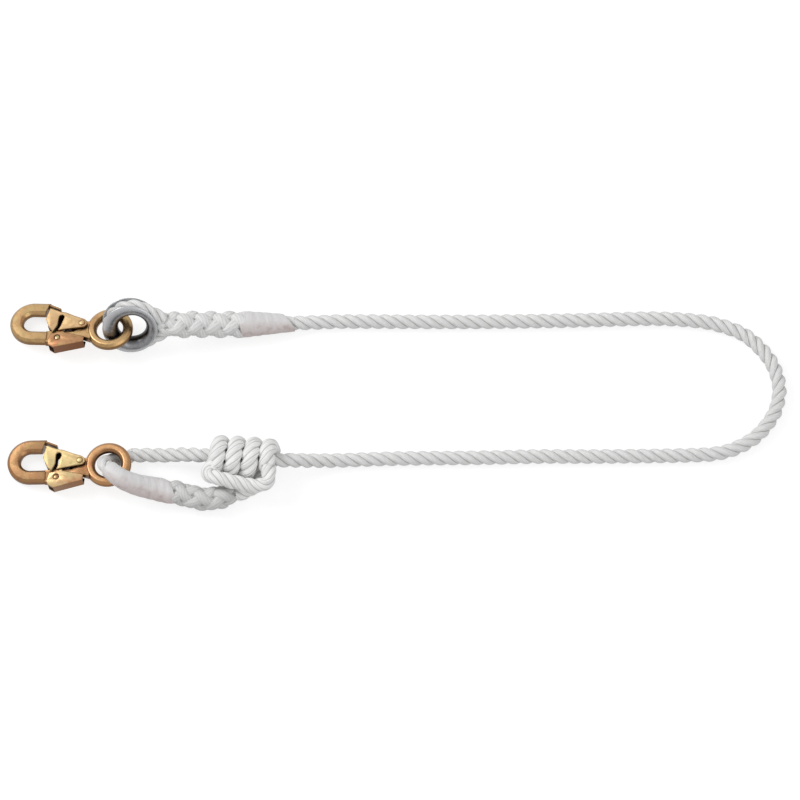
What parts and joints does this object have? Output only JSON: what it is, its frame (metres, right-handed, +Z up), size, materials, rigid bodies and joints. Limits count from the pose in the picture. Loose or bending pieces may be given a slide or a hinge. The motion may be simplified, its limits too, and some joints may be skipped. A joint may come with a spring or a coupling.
{
  "type": "rope lanyard",
  "caption": "Three-strand rope lanyard with a sliding shock knot, a thimbled eye splice and a locking snap hook at each end, laid out in a long bend.",
  "frame": {"origin": "on the ground plane, in the middle of the box of hooks, thimble, splices, sleeves and knot, without the free rope", "axes": "+Z up from the ground; +X from the hooks along the rope to its bend; +Y from the adjusted end to the spliced end"},
  "size_m": [0.8718, 0.2556, 0.0634],
  "materials": {
    "rope": "white twisted filament nylon, soft sheen",
    "sleeve": "thin shrunk white sleeve, matte",
    "galvanised_steel": "bright galvanised steel",
    "gold_plate_forged": "forged steel, yellow zinc plated",
    "gold_plate_sheet": "pressed steel sheet, yellow zinc plated",
    "spring_steel": "bare spring wire"
  },
  "bodies": {
    "rope": {"main_rope": "rope", "eye_rope": "rope", "thimble": "galvanised_steel", "eye_splice": "rope", "eye_splice_sleeve": "sleeve", "standing_rope": "rope", "eye_bight": "rope", "knot_winding": "rope", "adjuster_splice": "rope", "adjuster_sleeve": "sleeve"},
    "upper_hook": {"upper_hook_body": "gold_plate_forged", "upper_gate_pin": "gold_plate_forged", "upper_lock_rivet": "gold_plate_forged", "upper_gate_spring": "spring_steel", "upper_lock_spring": "spring_steel"},
    "upper_gate": {"upper_gate": "gold_plate_sheet"},
    "upper_lock": {"upper_lock_lever": "gold_plate_sheet"},
    "lower_hook": {"lower_hook_body": "gold_plate_forged", "lower_gate_pin": "gold_plate_forged", "lower_lock_rivet": "gold_plate_forged", "lower_gate_spring": "spring_steel", "lower_lock_spring": "spring_steel"},
    "lower_gate": {"lower_gate": "gold_plate_sheet"},
    "lower_lock": {"lower_lock_lever": "gold_plate_sheet"}
  },
  "joints": [
    {"name": "upper_hook_swing", "type": "hinge", "parent": "rope", "child": "upper_hook", "pos_m": [-0.0465, 0.0885, 0.0252], "axis": [-0.1409, 0.1534, 0.9781], "range_deg": [-20, 20]},
    {"name": "upper_gate_open", "type": "hinge", "parent": "upper_hook", "child": "upper_gate", "pos_m": [-0.07663, 0.09439, 0.01994], "axis": [-0.1409, 0.1534, 0.9781], "range_deg": [0, 33], "stiffness_Nm_per_rad": 0.15, "springref_deg": -34.38, "deforming": ["upper_gate_spring"]},
    {"name": "upper_lock_press", "type": "hinge", "parent": "upper_hook", "child": "upper_lock", "pos_m": [-0.10476, 0.07849, 0.01838], "axis": [-0.1409, 0.1534, 0.9781], "range_deg": [0, 8], "stiffness_Nm_per_rad": 0.15, "springref_deg": -34.38, "deforming": ["upper_lock_spring"]},
    {"name": "lower_hook_swing", "type": "hinge", "parent": "rope", "child": "lower_hook", "pos_m": [-0.0477, -0.0756, 0.0215], "axis": [-0.1425, 0.0057, 0.9898], "range_deg": [-20, 20]},
    {"name": "lower_gate_open", "type": "hinge", "parent": "lower_hook", "child": "lower_gate", "pos_m": [-0.07824, -0.07137, 0.01708], "axis": [-0.1425, 0.0057, 0.9898], "range_deg": [0, 33], "stiffness_Nm_per_rad": 0.15, "springref_deg": -34.38, "deforming": ["lower_gate_spring"]},
    {"name": "lower_lock_press", "type": "hinge", "parent": "lower_hook", "child": "lower_lock", "pos_m": [-0.1051, -0.08901, 0.01331], "axis": [-0.1425, 0.0057, 0.9898], "range_deg": [0, 8], "stiffness_Nm_per_rad": 0.15, "springref_deg": -34.38, "deforming": ["lower_lock_spring"]}
  ]
}
